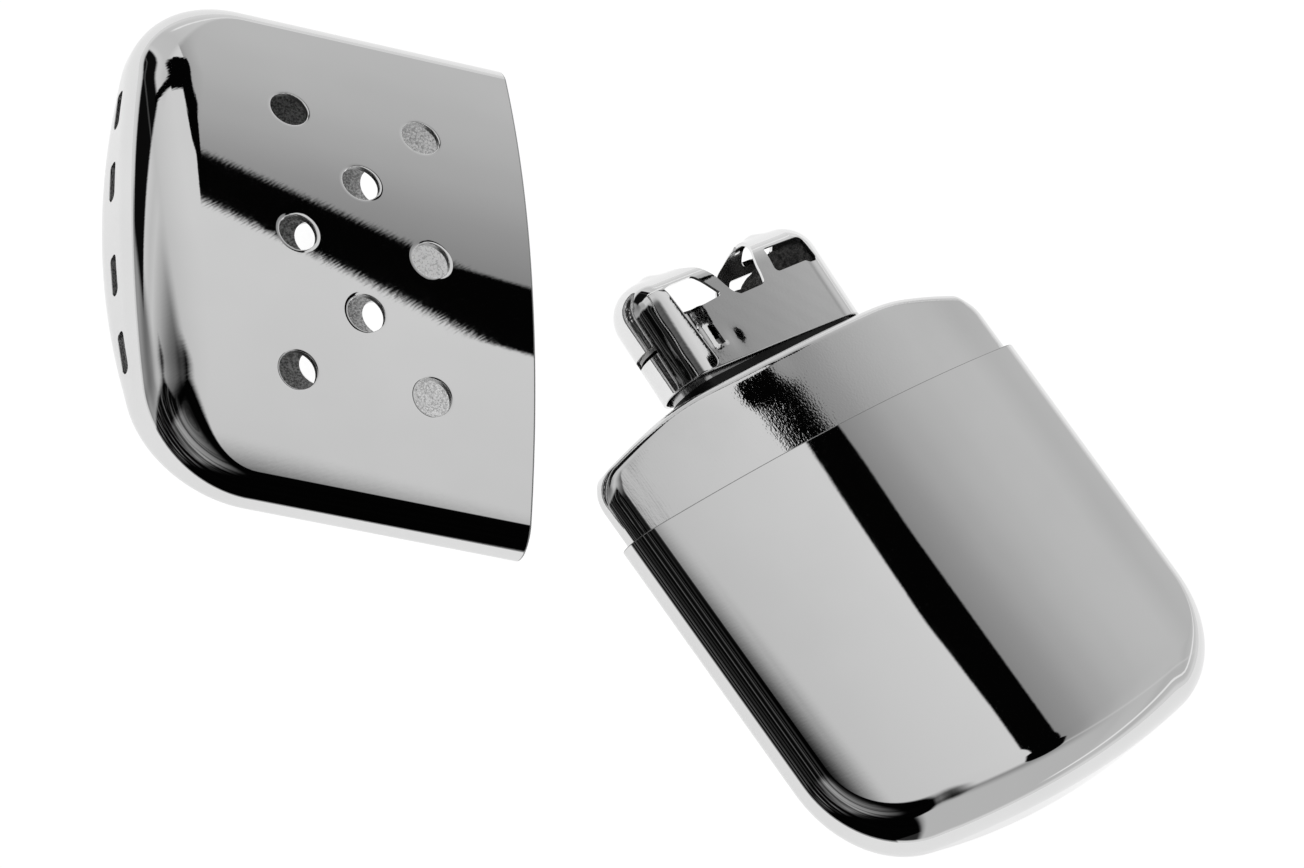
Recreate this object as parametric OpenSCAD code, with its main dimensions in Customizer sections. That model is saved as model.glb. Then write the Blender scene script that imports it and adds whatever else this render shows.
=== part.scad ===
// Catalytic hand warmer, opened: the fuel tank with its burner seated on the
// neck, and the vented cap lying beside it, both flat on their backs.
// Tank frame while building: X across, +Y along the tank towards the burner,
// +Z out of the front face, y = 0 at the top edge of the outer case.
// Millimetres. The whole set is then moved so that the origin is the middle of
// the bottom of the bounding box.

/* [Case and cap] */
// Width of the case and of the cap
case_w = 66; // [60:0.5:70]
// Thickness across the crowned faces
case_t = 13.5; // [13:0.1:15]
// Length of the outer case, from its top edge to its rounded end
case_len = 49.5; // [46:0.5:56]
// Length of the cap, from its mouth to its rounded end
cap_len = 49; // [46:0.5:56]
// Radius of the crown across the front and back faces
face_r = 122; // [118:1:140]
// Radius of the two corners of the rounded end, seen from the front
corner_r = 14; // [11:0.5:16]
// Radius of the shallow arc of the rounded end
end_r = 128; // [110:1:160]
// Fillet between the faces and the rounded end
end_fillet = 4.8; // [4:0.1:5]
// Fillet between the faces and the long sides
side_fillet = 3; // [2.5:0.1:3.2]
// Sheet thickness of the case and the cap
wall = 0.6; // [0.5:0.05:0.7]
// Width of the flat land pressed along the middle of both backs
land_w = 16; // [12:1:18]

/* [Vents] */
// Diameter of the vents through the cap's faces
vent_d = 4.6; // [4:0.1:5]
// Distance of the first row of vents from the cap's mouth
vent_first = 12.8; // [12:0.1:14]
// Distance between rows of vents
vent_pitch = 8.2; // [7.5:0.1:8.5]
// Sideways spacing of the vents in the rows of three
vent_side = 17.5; // [16:0.1:18.5]
// Length of the slots through the cap's end wall
end_slot = 5.2; // [4.6:0.1:5.6]
// Height of the slots through the cap's end wall
end_slot_h = 1.5; // [1.2:0.1:1.8]

/* [Tank top] */
// How far the collar is set in from the outside of the case
collar_inset = 0.9; // [0.8:0.05:1]
// Height of the flat seat on the shoulder above the case edge
seat_y = 11.3; // [11:0.1:11.6]
// Height the shoulder's arc would reach in the middle without the flat seat
shoulder_y = 12.7; // [12.5:0.1:13]
// Radius of the shoulder's arc, seen from the front
shoulder_r = 114; // [108:1:120]
// Sheet thickness of the collar
collar_wall = 0.5; // [0.4:0.05:0.6]
// Height of the neck's top edge above the case edge
neck_top = 16.8; // [16.4:0.1:17]

/* [Burner] */
// Distance between the two end centres of the burner's oval
burner_c = 21.8; // [21.4:0.1:22.2]
// Half thickness of the burner
burner_r = 4.3; // [4.25:0.05:4.4]
// Sheet thickness of the burner cage
burner_wall = 0.4; // [0.35:0.05:0.45]
// Height of the cage's lower edge above the case edge
burner_foot = 12.4; // [12.4:0.1:12.8]
// Height at which the cage starts to round over
burner_spring = 22.4; // [22.2:0.1:22.6]
// Angle at which the burner sits askew on the neck
burner_tilt = 3.3; // [2.8:0.1:3.5]

/* [Cap beside the tank] */
// Angle of the open cap in the plane of the table
cap_angle = 54.223; // [50:0.001:58]
// Middle of the cap's mouth, across the tank
cap_x = -26.776; // [-30:0.001:-26]
// Middle of the cap's mouth, along the tank
cap_y = 31.14; // [31:0.001:36]

/* [Hidden] */
$fn = 96;
half_w = case_w/2;
half_t = case_t/2;
// the pressed land lowers the back by the crown's rise over half its width
land_t = half_t - pow(land_w/2, 2)/(2*face_r);
// middle of the bounding box seen from above, in the tank frame
box_mid = [-22.9925, 15.2868, 0];

// ---------------------------------------------------------------- outlines
// Half outline of a shell seen from the front, from its long side to its
// middle: [x, y, normal x, normal y, share of end fillet].
function half_outline(a, len, rk, re, n = 12, m = 14) =
    let (vc = len - re + sqrt(pow(re - rk, 2) - pow(a - rk, 2)),
         ck = a - rk,
         phi = atan2(vc - (len - re), ck))
    concat(
        [for (i = [0:n - 1]) let (t = phi*i/n)
            [ck + rk*cos(t), vc + rk*sin(t), cos(t), sin(t), i/n]],
        [for (i = [0:m]) let (t = phi + (90 - phi)*i/m)
            [re*cos(t), len - re + re*sin(t), cos(t), sin(t), 1]]);

// Height of the crowned face above the middle plane
function crown(x, t) = t - x*x/(2*face_r);

// Points on the skin of one closed-end body: side fillet rs, end fillet re_f,
// open end at y0, back pressed flat at -tb.
function skin(a, t, y0, len, rk, re, rs, re_f, tb) =
    let (o = half_outline(a, len, rk, re))
    concat(
        [for (s = [-1, 1], k = [-1, 1], p = o, th = [0:18:90])
            let (r = min(rs + (re_f - rs)*p[4], crown(p[0], t) - 0.2),
                 x = p[0] - p[2]*r*(1 - cos(th)),
                 y = p[1] - p[3]*r*(1 - cos(th)),
                 z = crown(x, t) - r + r*sin(th))
            [k*x, y, s > 0 ? z : -min(z, tb)]],
        [for (s = [-1, 1], k = [-1, 1], th = [0:18:90])
            let (r = min(rs, crown(a, t) - 0.2),
                 x = a - r*(1 - cos(th)),
                 z = crown(x, t) - r + r*sin(th))
            [k*x, y0, s > 0 ? z : -min(z, tb)]],
        [for (s = [-1, 1], i = [-12:12])
            let (x = i/12*(a - rs), z = crown(x, t))
            [x, y0, s > 0 ? z : -min(z, tb)]]);

module body(a, t, y0, len, rk, re, rs, re_f, tb)
    let (p = skin(a, t, y0, len, rk, re, rs, re_f, tb))
    hull() polyhedron(points = p, faces = [for (i = [0:3:len(p) - 3]) [i, i + 1, i + 2]]);

// The case's and the cap's outside, shrunk by d on every side
module shell_body(len, d, y0 = 0)
    body(half_w - d, half_t - d, y0, len - d, corner_r - d, end_r - d,
        side_fillet - d, end_fillet - d, land_t - d);

// The collar's outside above the case edge, shrunk by d
module collar_body(d, y0) {
    i = collar_inset + d;
    intersection() {
        body(half_w - i, half_t - i, y0, shoulder_y - d, 4.2 - d, shoulder_r - d,
            side_fillet - i + 0.2, 1.4 - d, land_t - i);
        translate([-50, y0 - 1, -20]) cube([100, seat_y - d - y0 + 1, 40]);
    }
}

// Oval prism: two half rounds of radius r, centres c apart, from y = lo to hi
module oval(c, r, lo, hi)
    translate([0, lo, 0]) rotate([-90, 0, 0]) linear_extrude(hi - lo) {
        translate([-c/2, -r]) square([c, 2*r]);
        translate([-c/2, 0]) circle(r);
        translate([c/2, 0]) circle(r);
    }

// Oval prism rounded over on top, springing at y = spring
module domed_oval(c, r, lo, spring) {
    oval(c, r, lo, spring);
    translate([-c/2, spring, 0]) rotate([0, 90, 0]) cylinder(r = r, h = c);
    for (s = [-1, 1]) translate([s*c/2, spring, 0]) sphere(r);
}

// Everything is drawn in the tank frame and moved to the final origin here
module placed() translate([-box_mid[0], -box_mid[1], land_t]) children();

module placed_cap() placed() translate([cap_x, cap_y, 0]) rotate([0, 0, cap_angle]) children();

// The burner sits askew: turned about the middle of the neck's seat
module placed_burner() placed() translate([0.3, 12.4, 0]) rotate([0, 0, -burner_tilt])
    translate([0, -12.4, 0]) children();

// ---------------------------------------------------------------- cap
module cap_shell() color([0.78, 0.78, 0.79]) placed_cap()
    difference() {
        shell_body(cap_len, 0);
        shell_body(cap_len, wall, -2);
        // rows of three, two and three vents, through both faces
        for (row = [0:2], k = row == 1 ? [-0.5, 0.5] : [-1, 0, 1])
            translate([k*vent_side, vent_first + row*vent_pitch, -10])
                cylinder(d = vent_d, h = 20);
        // slots through the end wall
        for (x = [-16.2, -6.25, 6.25, 16.2])
            translate([x, cap_len - 6, 0]) rotate([-90, 0, 0]) hull()
                for (k = [-1, 1]) translate([k*(end_slot - end_slot_h)/2, 0, 0])
                    cylinder(d = end_slot_h, h = 8, $fn = 32);
    }

// ---------------------------------------------------------------- tank
module case_shell() color([0.78, 0.78, 0.79]) placed() mirror([0, 1, 0])
    difference() {
        shell_body(case_len, 0);
        shell_body(case_len, wall, -2);
    }

module tank_collar() color([0.7, 0.7, 0.71]) placed()
    difference() {
        union() {
            collar_body(0, 0);
            // skirt that laps inside the case
            lap(wall + 0.03, -8, 0.4);
        }
        collar_body(collar_wall, -0.4);
        lap(wall + 0.03 + collar_wall, -9, -0.3);
        // mouth for the neck
        oval(burner_c - 1, 3.41, 5, 20);
    }

module lap(d, lo, hi) intersection() {
    mirror([0, 1, 0]) shell_body(case_len, d, -2);
    translate([-50, lo, -20]) cube([100, hi - lo, 40]);
}

// Raised ring round the root of the neck; the burner's foot drops over it
module neck_ring() color([0.62, 0.6, 0.56]) placed()
    difference() {
        oval(burner_c - 1, 3.8, seat_y, seat_y + 1.1);
        oval(burner_c - 1, 3.41, seat_y - 1, seat_y + 2);
    }

module neck_tube() color([0.66, 0.6, 0.48]) placed()
    difference() {
        oval(burner_c - 1, 3.4, seat_y - 2, neck_top);
        oval(burner_c - 1, 3.0, seat_y - 3, neck_top + 1);
    }

module wick_plug() color([0.9, 0.88, 0.82]) placed()
    oval(burner_c - 1.1, 2.92, seat_y - 1.9, neck_top - 0.6);

// Cotton wadding: the inside of the tank in three packed layers
module wadding(lo, hi) intersection() {
    mirror([0, 1, 0]) shell_body(case_len, wall + collar_wall + 0.4, -20);
    translate([-50, lo, -20]) cube([100, hi - lo, 40]);
}
module wadding_top() color([0.94, 0.93, 0.9]) placed() union() {
    wadding(-15.4, 5.6);
    // tapers up under the shoulder to the neck
    intersection() {
        collar_body(collar_wall + 0.1, 5.4);
        translate([-40, 5, -10]) cube([80, 4.2, 20]);
    }
}
module wadding_middle() color([0.92, 0.91, 0.88]) placed() wadding(-31.4, -15.6);
module wadding_bottom() color([0.9, 0.89, 0.86]) placed() wadding(-49, -31.6);

// ---------------------------------------------------------------- burner
// Openings of one face of the cage, as seen from the front
module face_cut(pts) translate([0, 0, -0.1]) linear_extrude(8) polygon(pts);
module face_cuts() {
    // window of the left hump
    face_cut([[-11.05, 23.6], [-8.9, 24.05], [-5.4, 24.05], [-3.2, 20.5], [-6.4, 20.2],
        [-10.5, 20.1], [-10.75, 21.3]]);
    // window of the right hump, right of the post
    face_cut([[6.1, 23.95], [12, 23.85], [12.5, 20.8], [11.8, 20.3], [10.5, 20.6], [5.7, 20.55]]);
    // notch between the humps, as far as the post
    face_cut([[-0.8, 19.7], [-1.7, 20.4], [-2.25, 21.7], [-2.75, 23.05], [-3.4, 24.5],
        [-3.75, 25.1], [-4.8, 25.8], [-6.3, 27], [6.3, 27], [4.75, 24.4], [4.1, 23.35],
        [3.75, 22.3], [3.6, 21.2], [3.3, 20.1], [2.7, 19.8]]);
}

module burner_cage() color([0.72, 0.72, 0.73]) placed_burner()
    difference() {
        domed_oval(burner_c, burner_r, burner_foot, burner_spring);
        domed_oval(burner_c, burner_r - burner_wall, burner_foot - 2, burner_spring);
        face_cuts();
        rotate([0, 180, 0]) face_cuts();
        // gas outlets behind the ridge of both humps
        for (s = [-1, 1]) translate([s*10.05 - 2.35, 24, -2.9]) cube([4.7, 5, 2.3]);
        // slot around the left end
        translate([-16.5, 17.5, -3.2]) cube([4.6, 1, 6.6]);
    }

// Band spot-welded inside the cage that grips the neck
module burner_grip_band() color([0.6, 0.6, 0.6]) placed_burner()
    difference() {
        oval(burner_c, burner_r - burner_wall - 0.01, burner_foot + 1.3, burner_foot + 3.4);
        oval(burner_c, burner_r - burner_wall - 0.31, burner_foot, burner_foot + 4);
    }

module burner_floor() color([0.55, 0.55, 0.55]) placed_burner()
    difference() {
        oval(burner_c, burner_r - burner_wall - 0.02, 18, 18.4);
        for (i = [-5:5], j = [-1, 0, 1])
            translate([i*2.3, 17, j*2.2]) rotate([-90, 0, 0]) cylinder(d = 1.2, h = 3, $fn = 24);
    }

module backing_gauze() color([0.5, 0.5, 0.48]) placed_burner()
    oval(burner_c, burner_r - burner_wall - 0.1, 18.41, 18.7);

module catalyst_mat() color([0.2, 0.2, 0.2]) placed_burner()
    difference() {
        oval(burner_c, burner_r - burner_wall - 0.22, 18.72, 23.5);
        // low under the left hump and the notch, high under the right hump
        translate([0, 0, -6]) linear_extrude(12) polygon([[-17, 20.2], [-7, 20.4], [-2, 20.1],
            [2, 20.2], [4.6, 20.9], [6.2, 22.4], [8, 23.2], [12, 23.3], [17, 23], [17, 30], [-17, 30]]);
    }

cap_shell();
case_shell();
tank_collar();
neck_ring();
neck_tube();
wick_plug();
wadding_top();
wadding_middle();
wadding_bottom();
burner_cage();
burner_grip_band();
burner_floor();
backing_gauze();
catalyst_mat();
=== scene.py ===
import math
import bpy
import bmesh
import numpy as np
from mathutils import Matrix, Vector
from mathutils.bvhtree import BVHTree


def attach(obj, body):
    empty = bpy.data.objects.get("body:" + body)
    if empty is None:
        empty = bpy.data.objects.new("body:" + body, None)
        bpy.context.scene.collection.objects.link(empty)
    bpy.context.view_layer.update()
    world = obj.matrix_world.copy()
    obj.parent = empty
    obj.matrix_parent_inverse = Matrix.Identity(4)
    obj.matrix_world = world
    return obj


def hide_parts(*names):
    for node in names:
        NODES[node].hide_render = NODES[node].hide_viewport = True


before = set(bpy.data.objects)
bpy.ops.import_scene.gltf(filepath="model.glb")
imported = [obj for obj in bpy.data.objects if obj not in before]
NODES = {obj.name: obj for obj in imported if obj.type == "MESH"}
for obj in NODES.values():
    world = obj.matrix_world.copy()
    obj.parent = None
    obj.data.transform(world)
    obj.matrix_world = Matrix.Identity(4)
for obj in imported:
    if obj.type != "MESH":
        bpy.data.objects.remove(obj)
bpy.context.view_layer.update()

MM = 0.001

# ------------------------------------------------------------------ sizes, mm
HALF_W, HALF_T, FACE_R = 33.0, 6.75, 122.0
CASE_LEN, CAP_LEN = 49.5, 49.0
CORNER_R, END_R = 14.0, 128.0
SIDE_F, END_F, WALL = 3.0, 4.8, 0.6
LAND = HALF_T - 8.0 ** 2 / (2 * FACE_R)
INSET, SEAT_Y = 0.9, 11.3
BURN_C, BURN_R, BURN_W = 21.8, 4.3, 0.4
FOOT, SPRING = 12.4, 22.4
OFF = Vector((22.9925, -15.2868, LAND))

TO_M = Matrix.Scale(MM, 4) @ Matrix.Translation(OFF)
TANK = TO_M
CASE = TO_M @ Matrix.Diagonal((1, -1, 1, 1))
CAP = TO_M @ Matrix.Translation((-26.776, 31.14, 0)) @ Matrix.Rotation(math.radians(54.223), 4, "Z")
BURNER = (TO_M @ Matrix.Translation((0.3, 12.4, 0)) @ Matrix.Rotation(math.radians(-3.3), 4, "Z")
          @ Matrix.Translation((0, -12.4, 0)))


# ------------------------------------------------------------------ node maths
class Ex:
    """A socket that can be used in sums; every operation makes one Math node."""

    def __init__(self, tree, sock):
        self.t, self.s = tree, sock

    def m(self, op, *others, clamp=False):
        n = self.t.nodes.new("ShaderNodeMath")
        n.operation = op
        n.use_clamp = clamp
        for i, x in enumerate((self,) + others):
            if isinstance(x, Ex):
                self.t.links.new(x.s, n.inputs[i])
            else:
                n.inputs[i].default_value = x
        return Ex(self.t, n.outputs[0])

    def __add__(self, o): return self.m("ADD", o)
    __radd__ = __add__
    def __sub__(self, o): return self.m("SUBTRACT", o)
    def __rsub__(self, o): return (self * -1.0) + o
    def __mul__(self, o): return self.m("MULTIPLY", o)
    __rmul__ = __mul__
    def __truediv__(self, o): return self.m("DIVIDE", o)
    def hi(self, o): return self.m("MAXIMUM", o)
    def lo(self, o): return self.m("MINIMUM", o)
    def abs(self): return self.m("ABSOLUTE")
    def sqrt(self): return self.m("SQRT")
    def sin(self): return self.m("SINE")
    def pow(self, e): return self.m("POWER", e)

    def ramp(self, a, b, x=0.0, y=1.0, smooth=True):
        n = self.t.nodes.new("ShaderNodeMapRange")
        n.interpolation_type = "SMOOTHSTEP" if smooth else "LINEAR"
        n.clamp = True
        self.t.links.new(self.s, n.inputs["Value"])
        for key, v in (("From Min", a), ("From Max", b), ("To Min", x), ("To Max", y)):
            if isinstance(v, Ex):
                self.t.links.new(v.s, n.inputs[key])
            else:
                n.inputs[key].default_value = v
        return Ex(self.t, n.outputs["Result"])

    def mix(self, other, f):
        """self where f is 0, other where f is 1"""
        return self + (other - self) * f if isinstance(other, Ex) else self * (1.0 - f) + f * other


def lin(level):
    c = level / 255.0
    return c / 12.92 if c <= 0.04045 else ((c + 0.055) / 1.055) ** 2.4


# ------------------------------------------------------------------ meshes
def smin(a, b, k):
    h = np.clip(0.5 + 0.5 * (b - a) / k, 0, 1)
    return b + (a - b) * h - k * h * (1 - h), h


class Skin:
    """Vertices shared by place, with a normal each, and quads."""

    def __init__(self):
        self.v, self.n, self.f, self.key = [], [], [], {}

    def vert(self, p, n):
        k = (round(float(p[0]), 4) + 0.0, round(float(p[1]), 4) + 0.0, round(float(p[2]), 4) + 0.0)
        i = self.key.get(k)
        if i is None:
            i = self.key[k] = len(self.v)
            self.v.append(tuple(float(c) for c in p))
            m = math.sqrt(float(n[0]) ** 2 + float(n[1]) ** 2 + float(n[2]) ** 2) or 1.0
            self.n.append(tuple(float(c) / m for c in n))
        return i

    def face(self, ids):
        out = []
        for i in ids:
            if i not in out:
                out.append(i)
        if len(out) >= 3:
            # wind every face so that it looks along its own normals
            a, b, c = (np.array(self.v[i]) for i in out[:3])
            d = np.cross(b - a, c - a)
            if len(out) == 4:
                e = np.array(self.v[out[3]])
                d = np.cross(c - a, e - b)
            m = sum(np.array(self.n[i]) for i in out)
            self.f.append(out if float(d @ m) >= 0 else out[::-1])

    def grid(self, P, N, closed=False):
        idx = [[self.vert(P[i, j], N[i, j]) for j in range(P.shape[1])] for i in range(P.shape[0])]
        rows = range(len(idx)) if closed else range(len(idx) - 1)
        for i in rows:
            k = (i + 1) % len(idx)
            for j in range(P.shape[1] - 1):
                self.face((idx[i][j], idx[k][j], idx[k][j + 1], idx[i][j + 1]))


def new_object(name, verts, faces, mat4=None, normals=None):
    me = bpy.data.meshes.new(name)
    me.from_pydata([tuple(v) for v in verts], [], [tuple(f) for f in faces])
    me.update()
    ob = bpy.data.objects.new(name, me)
    bpy.context.scene.collection.objects.link(ob)
    if mat4 is not None:
        place(ob, mat4)
    return ob


def fix_winding(ob):
    bm = bmesh.new(); bm.from_mesh(ob.data)
    bmesh.ops.recalc_face_normals(bm, faces=bm.faces)
    bm.to_mesh(ob.data); bm.free()
    return ob


def place(ob, mat4):
    me = ob.data
    me.transform(mat4)
    if mat4.determinant() < 0:
        me.flip_normals()
    me.update()


def smooth_with(ob, base_v, base_n, base_f, tol=2e-3, angle=38.0, inner=(0, 0)):
    """Sets corner normals: faces that lie on the base surface take the base's own
    normals there, and cut faces are smoothed among themselves. Faces on the base's
    inner skin get the second material, and faces on its rim the third."""
    me = ob.data
    tris, nrm, which = [], [Vector(n) for n in base_n], []
    for k, f in enumerate(base_f):
        for i in range(1, len(f) - 1):
            tris.append((f[0], f[i], f[i + 1]))
            which.append(1 if inner[0] <= k < inner[1] else (2 if 0 < inner[1] <= k else 0))
    bv = [Vector(v) for v in base_v]
    tree = BVHTree.FromPolygons(bv, tris)
    polys = me.polygons
    on = []
    for p in polys:
        loc, _, ti, dist = tree.find_nearest(p.center)
        worst = dist if dist is not None else 1.0
        p.material_index = which[ti] if worst < tol else 0
        if worst < tol:
            for vi in p.vertices:
                _, _, _, dd = tree.find_nearest(me.vertices[vi].co)
                worst = max(worst, dd)
        on.append(worst < tol)
    # cut faces: mean normal round each vertex
    around = {}
    for p, skin in zip(polys, on):
        if not skin:
            for vi in p.vertices:
                around.setdefault(vi, []).append((p.normal.copy(), p.area))
    limit = math.cos(math.radians(angle))
    loops = [None] * len(me.loops)
    for p, skin in zip(polys, on):
        for li in p.loop_indices:
            vi = me.loops[li].vertex_index
            if skin:
                co = me.vertices[vi].co
                best = None
                for loc, tn, ti, dist in tree.find_nearest_range(co, tol * 3):
                    if tn.dot(p.normal) > -0.2:
                        key = dist - 0.002 * tn.dot(p.normal)
                        if best is None or key < best[0]:
                            best = (key, loc, ti)
                if best is None:
                    loc, tn, ti, dist = tree.find_nearest(co)
                    best = (0, loc, ti)
                a, b, c = tris[best[2]]
                pa, pb, pc = bv[a], bv[b], bv[c]
                v0, v1, v2 = pb - pa, pc - pa, best[1] - pa
                d00, d01, d11 = v0.dot(v0), v0.dot(v1), v1.dot(v1)
                d20, d21 = v2.dot(v0), v2.dot(v1)
                den = d00 * d11 - d01 * d01
                if abs(den) < 1e-18:
                    n = nrm[a].copy()
                else:
                    w1 = (d11 * d20 - d01 * d21) / den
                    w2 = (d00 * d21 - d01 * d20) / den
                    n = nrm[a] * (1 - w1 - w2) + nrm[b] * w1 + nrm[c] * w2
            else:
                n = Vector((0, 0, 0))
                for q, ar in around[vi]:
                    if q.dot(p.normal) > limit:
                        n += q * ar
            if n.length < 1e-9:
                n = p.normal.copy()
            loops[li] = n.normalized()
    me.polygons.foreach_set("use_smooth", [True] * len(polys))
    me.normals_split_custom_set(loops)
    me.update()
    return on


def cut(ob, cutters, op="DIFFERENCE"):
    """Exact boolean of ob with all cutters; the cutters go away."""
    for c in cutters:
        md = ob.modifiers.new("cut", "BOOLEAN")
        md.operation, md.object, md.solver = op, c, "EXACT"
    dg = bpy.context.evaluated_depsgraph_get()
    dg.update()
    me = bpy.data.meshes.new_from_object(ob.evaluated_get(dg))
    ob.modifiers.clear()
    old = ob.data
    ob.data = me
    bpy.data.meshes.remove(old)
    for c in cutters:
        m = c.data
        bpy.data.objects.remove(c)
        bpy.data.meshes.remove(m)
    me.name = ob.name
    return ob


def normals_to(ob, mat4):
    """Moves ob by mat4 and carries its corner normals along."""
    me = ob.data
    n = np.empty(len(me.loops) * 3)
    me.corner_normals.foreach_get("vector", n)
    n = n.reshape(-1, 3)
    m = np.array(mat4.to_3x3().inverted().transposed())
    n = n @ m.T
    n /= np.linalg.norm(n, axis=1)[:, None]
    me.transform(mat4)
    if mat4.determinant() < 0:
        starts = [p.loop_start for p in me.polygons]
        totals = [p.loop_total for p in me.polygons]
        me.flip_normals()
        out = n.copy()
        for s, t in zip(starts, totals):
            # flipping keeps the first corner and turns the others round
            order = [s] + list(range(s + t - 1, s, -1))
            out[s:s + t] = n[order]
        n = out
    me.normals_split_custom_set([Vector(v) for v in n])
    me.update()


# ------------------------------------------------------------------ drawn shells
def half_outline(a, ln, rk, re, y0, ns, nc, ne, cap_y=None):
    vc = ln - re + math.sqrt((re - rk) ** 2 - (a - rk) ** 2)
    ck = a - rk
    phi = math.atan2(vc - (ln - re), ck)
    px, py, e = [], [], []
    for i in range(ns):
        px.append(a); py.append(y0 + (vc - y0) * i / ns); e.append(0.0)
    for i in range(nc):
        t = phi * i / nc
        px.append(ck + rk * math.cos(t)); py.append(vc + rk * math.sin(t)); e.append(i / nc)
    for i in range(ne + 1):
        t = phi + (math.pi / 2 - phi) * i / ne
        px.append(re * math.cos(t)); py.append(ln - re + re * math.sin(t)); e.append(1.0)
    px, py, e = np.array(px), np.array(py), np.array(e)
    px[-1] = 0.0
    if cap_y is not None:
        py, _ = smin(py, cap_y, 0.5)
    return px, py, e * e * (3 - 2 * e), (vc - y0)


def shell_grids(d, ln, y0, p, cap_y=None, counts=(22, 22, 26, 18, 2)):
    """Face, back and edge strip of a closed-end body shrunk by d: positions and normals."""
    ns, nc, ne, K, B = counts
    a, t, rk, re, rs, rf, land = (p[k] for k in ("a", "t", "rk", "re", "rs", "rf", "land"))
    a, t, rk, re, rs, rf, land = a - d, t - d, rk - d, re - d, rs - d, rf - d, land - d
    ln = ln - d
    if cap_y is not None:
        cap_y = cap_y - d
    px, py, e, _ = half_outline(a, ln, rk, re, y0, ns, nc, ne, cap_y)
    X = np.concatenate([px, -px[-2::-1]])
    Y = np.concatenate([py, py[-2::-1]])
    E = np.concatenate([e, e[-2::-1]])
    # outward normals of the outline
    tx, ty = np.gradient(X), np.gradient(Y)
    tx[:ns + 1], ty[:ns + 1] = 0.0, 1.0
    tx[-ns - 1:], ty[-ns - 1:] = 0.0, -1.0
    L = np.hypot(tx, ty)
    nx, ny = ty / L, -tx / L
    crown_at = lambda x: t - x * x / (2 * FACE_R)
    R, _ = smin(rs + (rf - rs) * E, crown_at(X) - 0.2, 0.25)
    # the roll into the end wall is drawn out over the face: wider than it is deep
    reach, ease = p.get("reach", (0.0, 0.0)), p.get("ease", (0.0, 0.0))
    A = R + reach[0] + (reach[1] - reach[0]) * E
    ex = 2.0 / (2.0 + ease[0] + (ease[1] - ease[0]) * E)
    th = np.linspace(math.pi / 2, 0, K + 1)
    cth, sth = np.cos(th), np.sin(th)

    def ring(c, s):
        c, s = abs(c) ** ex, abs(s) ** ex
        x = X - nx * A * (1 - c)
        y = Y - ny * A * (1 - c)
        z = crown_at(x) - R + R * s
        return x, y, z

    front = [ring(c, s) for c, s in zip(cth, sth)]
    # corner columns can cross where the fillet is larger than the outline's turn
    P = np.array([np.stack(f, -1) for f in front])            # K+1, M, 3
    nrm = []
    for k, (c, s) in enumerate(zip(cth, sth)):
        T = np.gradient(P[k], axis=0)
        T[:ns + 1] = (0, 1, 0)
        T[-ns - 1:] = (0, -1, 0)
        slope = -P[k][:, 0] / FACE_R
        st, ct = abs(s) ** (2 - ex), abs(c) ** (2 - ex)
        hx, hy = -nx * A * st, -ny * A * st
        Th = np.stack([hx, hy, slope * hx + R * ct], -1)
        n = np.cross(T, Th)
        flip = (n[:, 0] * nx + n[:, 1] * ny) * c + n[:, 2] * s
        n *= np.sign(flip)[:, None]
        nrm.append(n / np.linalg.norm(n, axis=1)[:, None])
    N = np.array(nrm)

    def to_back(Q, M):
        z, h = smin(Q[..., 2], land, 0.2)
        Q2 = Q.copy(); Q2[..., 2] = -z
        M2 = M.copy()
        M2[..., 0] *= h; M2[..., 1] *= h
        M2[..., 2] *= -1
        return Q2, M2 / np.linalg.norm(M2, axis=-1)[..., None]

    Pb, Nb = to_back(P, N)
    bands_p, bands_n = [P], [N]
    for b in range(1, B):
        f = b / B
        Q = P[-1] * (1 - f) + Pb[-1] * f
        bands_p.append(Q[None]); bands_n.append(N[-1][None])
    bands_p.append(Pb[::-1]); bands_n.append(Nb[::-1])
    SP = np.concatenate(bands_p).transpose(1, 0, 2)           # M, profile, 3
    SN = np.concatenate(bands_n).transpose(1, 0, 2)
    # faces: columns at the ring's own places, rows at the side's own heights
    ringp = P[0]
    cols = ringp[ns:len(X) - ns]
    f = np.linspace(0, 1, ns + 1)
    FX = np.repeat(cols[:, 0][:, None], ns + 1, 1)
    FY = y0 + (cols[:, 1][:, None] - y0) * f[None]
    FP = np.stack([FX, FY, crown_at(FX)], -1)
    FN = np.stack([FX / FACE_R, FX * 0, FX * 0 + 1], -1)
    FN /= np.linalg.norm(FN, axis=-1)[..., None]
    BP, BN = to_back(FP, FN)
    return dict(strip=(SP, SN), front=(FP, FN), back=(BP, BN))


def mouth_loop(g):
    """The closed loop of the open end, with its outward normals."""
    SP, SN = g["strip"]; FP, FN = g["front"]; BP, BN = g["back"]
    pts = np.concatenate([SP[0], BP[:, 0][1:], SP[-1][::-1][1:], FP[::-1, 0][1:-1]])
    nrm = np.concatenate([SN[0], BN[:, 0][1:], SN[-1][::-1][1:], FN[::-1, 0][1:-1]])
    return pts, nrm


def add_body(skin, g, sign=1):
    for k in ("strip", "front", "back"):
        P, N = g[k]
        skin.grid(P, N * sign)


def add_rim(skin, loops):
    """Joins closed loops one after another."""
    P = np.stack([l[0] for l in loops], 1)
    N = np.stack([l[1] for l in loops], 1)
    skin.grid(P, N, closed=True)


SHELL = dict(a=HALF_W, t=HALF_T, rk=CORNER_R, re=END_R, rs=SIDE_F, rf=END_F, land=LAND,
             reach=(0.7, 3.2), ease=(-0.15, 0.45))
CASE_SHELL = dict(SHELL, reach=(0.7, 0.9), ease=(-0.15, -0.1))
COLLAR = dict(a=HALF_W - INSET, t=HALF_T - INSET, rk=4.2, re=114.0, rs=SIDE_F - INSET + 0.2, rf=1.4,
              land=LAND - INSET, reach=(0.7, 0.0), ease=(-0.15, 0.0))


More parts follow.
